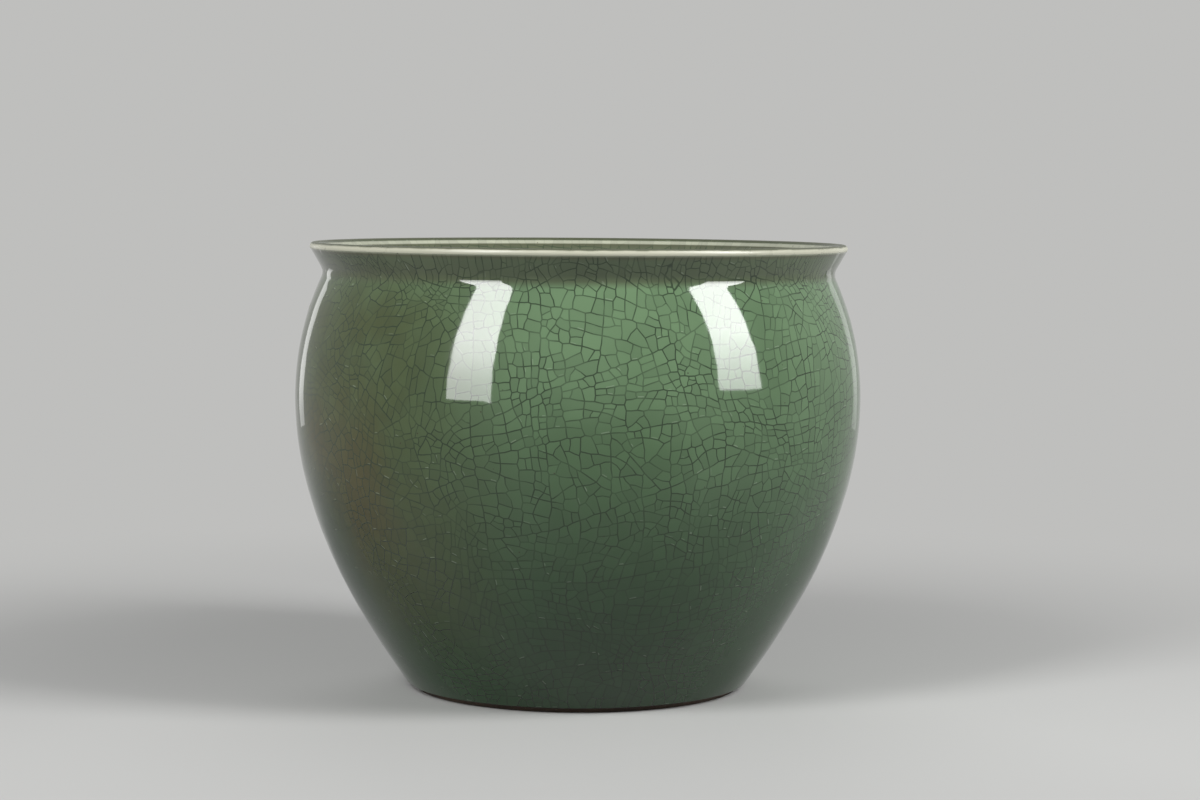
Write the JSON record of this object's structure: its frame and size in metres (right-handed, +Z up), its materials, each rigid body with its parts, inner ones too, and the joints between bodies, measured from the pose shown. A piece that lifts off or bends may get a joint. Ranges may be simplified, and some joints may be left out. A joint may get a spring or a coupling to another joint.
{
  "type": "fishbowl jardiniere",
  "caption": "Round-bellied glazed stoneware planter bowl with a narrow neck, a flared rolled lip and a recessed bare foot ring.",
  "frame": {"origin": "centre of the foot ring, on the plane the pot stands on", "axes": "+Z up along the turning axis, -Y towards the front in the picture, +X to the right"},
  "size_m": [0.41, 0.41, 0.3227],
  "materials": {
    "bare_stoneware": "unglazed, iron-washed, matt and gritty",
    "celadon_outside": "glossy crackle glaze",
    "pale_rim": "glossy thin glaze",
    "celadon_inside": "glossy crackle glaze"
  },
  "bodies": {
    "root": {"stoneware_body": "bare_stoneware", "outside_glaze": "celadon_outside", "rim_glaze": "pale_rim", "inside_glaze": "celadon_inside"}
  },
  "joints": []
}
